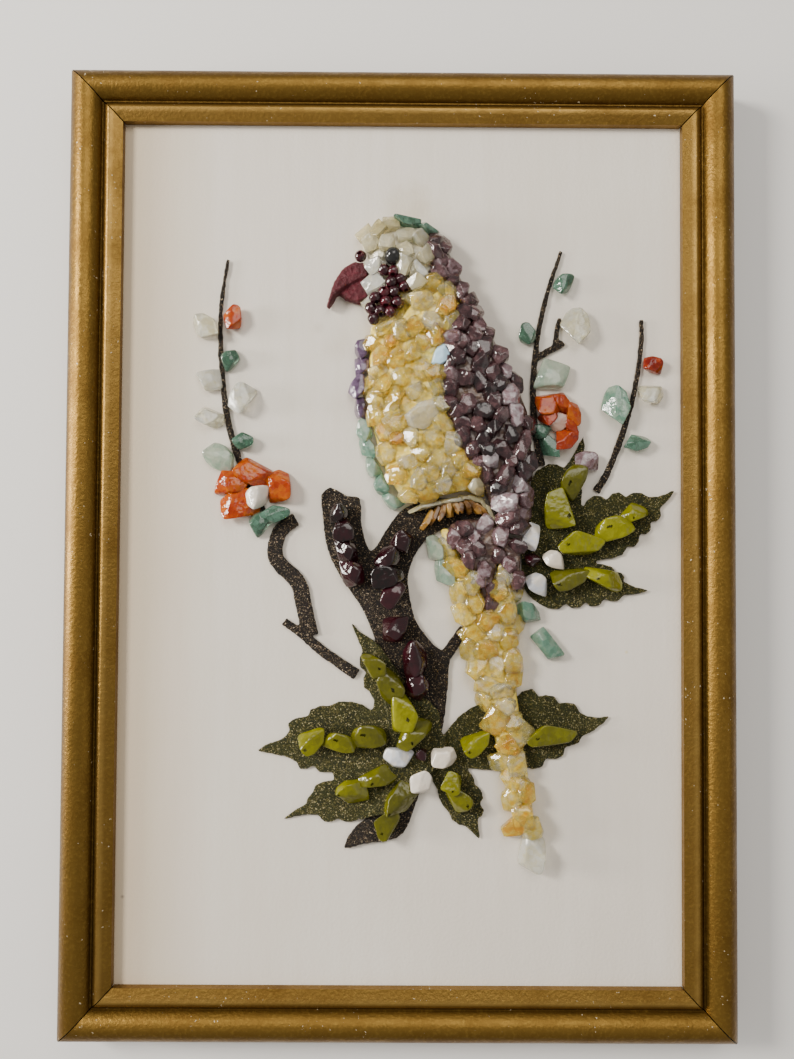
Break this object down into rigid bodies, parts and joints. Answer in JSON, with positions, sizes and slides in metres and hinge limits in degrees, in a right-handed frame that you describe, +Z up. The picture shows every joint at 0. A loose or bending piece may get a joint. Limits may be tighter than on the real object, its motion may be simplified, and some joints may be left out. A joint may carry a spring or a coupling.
{
  "type": "framed gemstone chip picture",
  "caption": "Small framed wall picture of a parrot on a branch, laid in tumbled gemstone chips on a cream board, in a gold-painted mitred moulding.",
  "frame": {"origin": "on the flat back of the top rail, halfway along it, where the panel meets the wall", "axes": "+Z up along the panel, +Y into the wall, the picture faces -Y, +X to the right seen from the front"},
  "size_m": [0.229, 0.0225, 0.33],
  "materials": {
    "amethyst": "tumbled",
    "aventurine": "tumbled",
    "beak": "satin",
    "black_flock": "glitter flock",
    "carnelian": "tumbled",
    "citrine": "tumbled",
    "claw": "tumbled",
    "cream_card": "matt, aged",
    "garnet": "tumbled",
    "gilt_wood": "gold paint, worn",
    "hematite": "polished",
    "howlite": "tumbled",
    "jade": "tumbled",
    "olive_flock": "glitter flock",
    "quartz": "tumbled"
  },
  "bodies": {
    "root": {"board": "cream_card", "branch": "black_flock", "branch_garnets_1": "garnet", "branch_garnets_2": "garnet", "branch_garnets_3": "garnet", "branch_garnets_4": "garnet", "centre_flower_greens": "aventurine", "centre_flower_petals": "carnelian", "centre_stem": "black_flock", "centre_stem_green": "aventurine", "centre_stem_quartz": "quartz", "left_flower_heart": "howlite", "left_flower_petals": "carnelian", "left_flower_sepals": "aventurine", "left_stem": "black_flock", "left_stem_green_bottom": "aventurine", "left_stem_quartz_middle": "quartz", "left_stem_quartz_top": "quartz", "left_twig": "black_flock", "lower_leaf": "olive_flock", "lower_leaf_howlite_bottom": "howlite", "lower_leaf_howlite_left": "howlite", "lower_leaf_howlite_right": "howlite", "lower_leaf_jade_1": "jade", "lower_leaf_jade_2": "jade", "lower_leaf_jade_3": "jade", "lower_leaf_jade_4": "jade", "lower_leaf_jade_5": "jade", "lower_leaf_jade_6": "jade", "lower_leaf_jade_7": "jade", "parrot_beak": "beak", "parrot_belly_row": "aventurine", "parrot_breast": "citrine", "parrot_cheek_beads": "garnet", "parrot_chest_row": "amethyst", "parrot_claws": "claw", "parrot_crown_slivers": "aventurine", "parrot_eye": "hematite", "parrot_head": "quartz", "parrot_nostril": "garnet", "parrot_wing": "amethyst", "rail_bottom": "gilt_wood", "rail_left": "gilt_wood", "rail_right": "gilt_wood", "rail_top": "gilt_wood", "right_stem": "black_flock", "right_stem_green": "aventurine", "tail": "citrine", "tail_left_chips": "aventurine", "tail_right_lower_chip": "aventurine", "tail_right_upper_chip": "aventurine", "tail_tip_crystal": "quartz", "undertail_feathers": "amethyst", "upper_leaf": "olive_flock", "upper_leaf_howlite": "howlite", "upper_leaf_jade_1": "jade", "upper_leaf_jade_2": "jade", "upper_leaf_jade_3": "jade", "upper_leaf_shell_bottom": "howlite", "upper_leaf_shell_top": "howlite"}
  },
  "joints": []
}
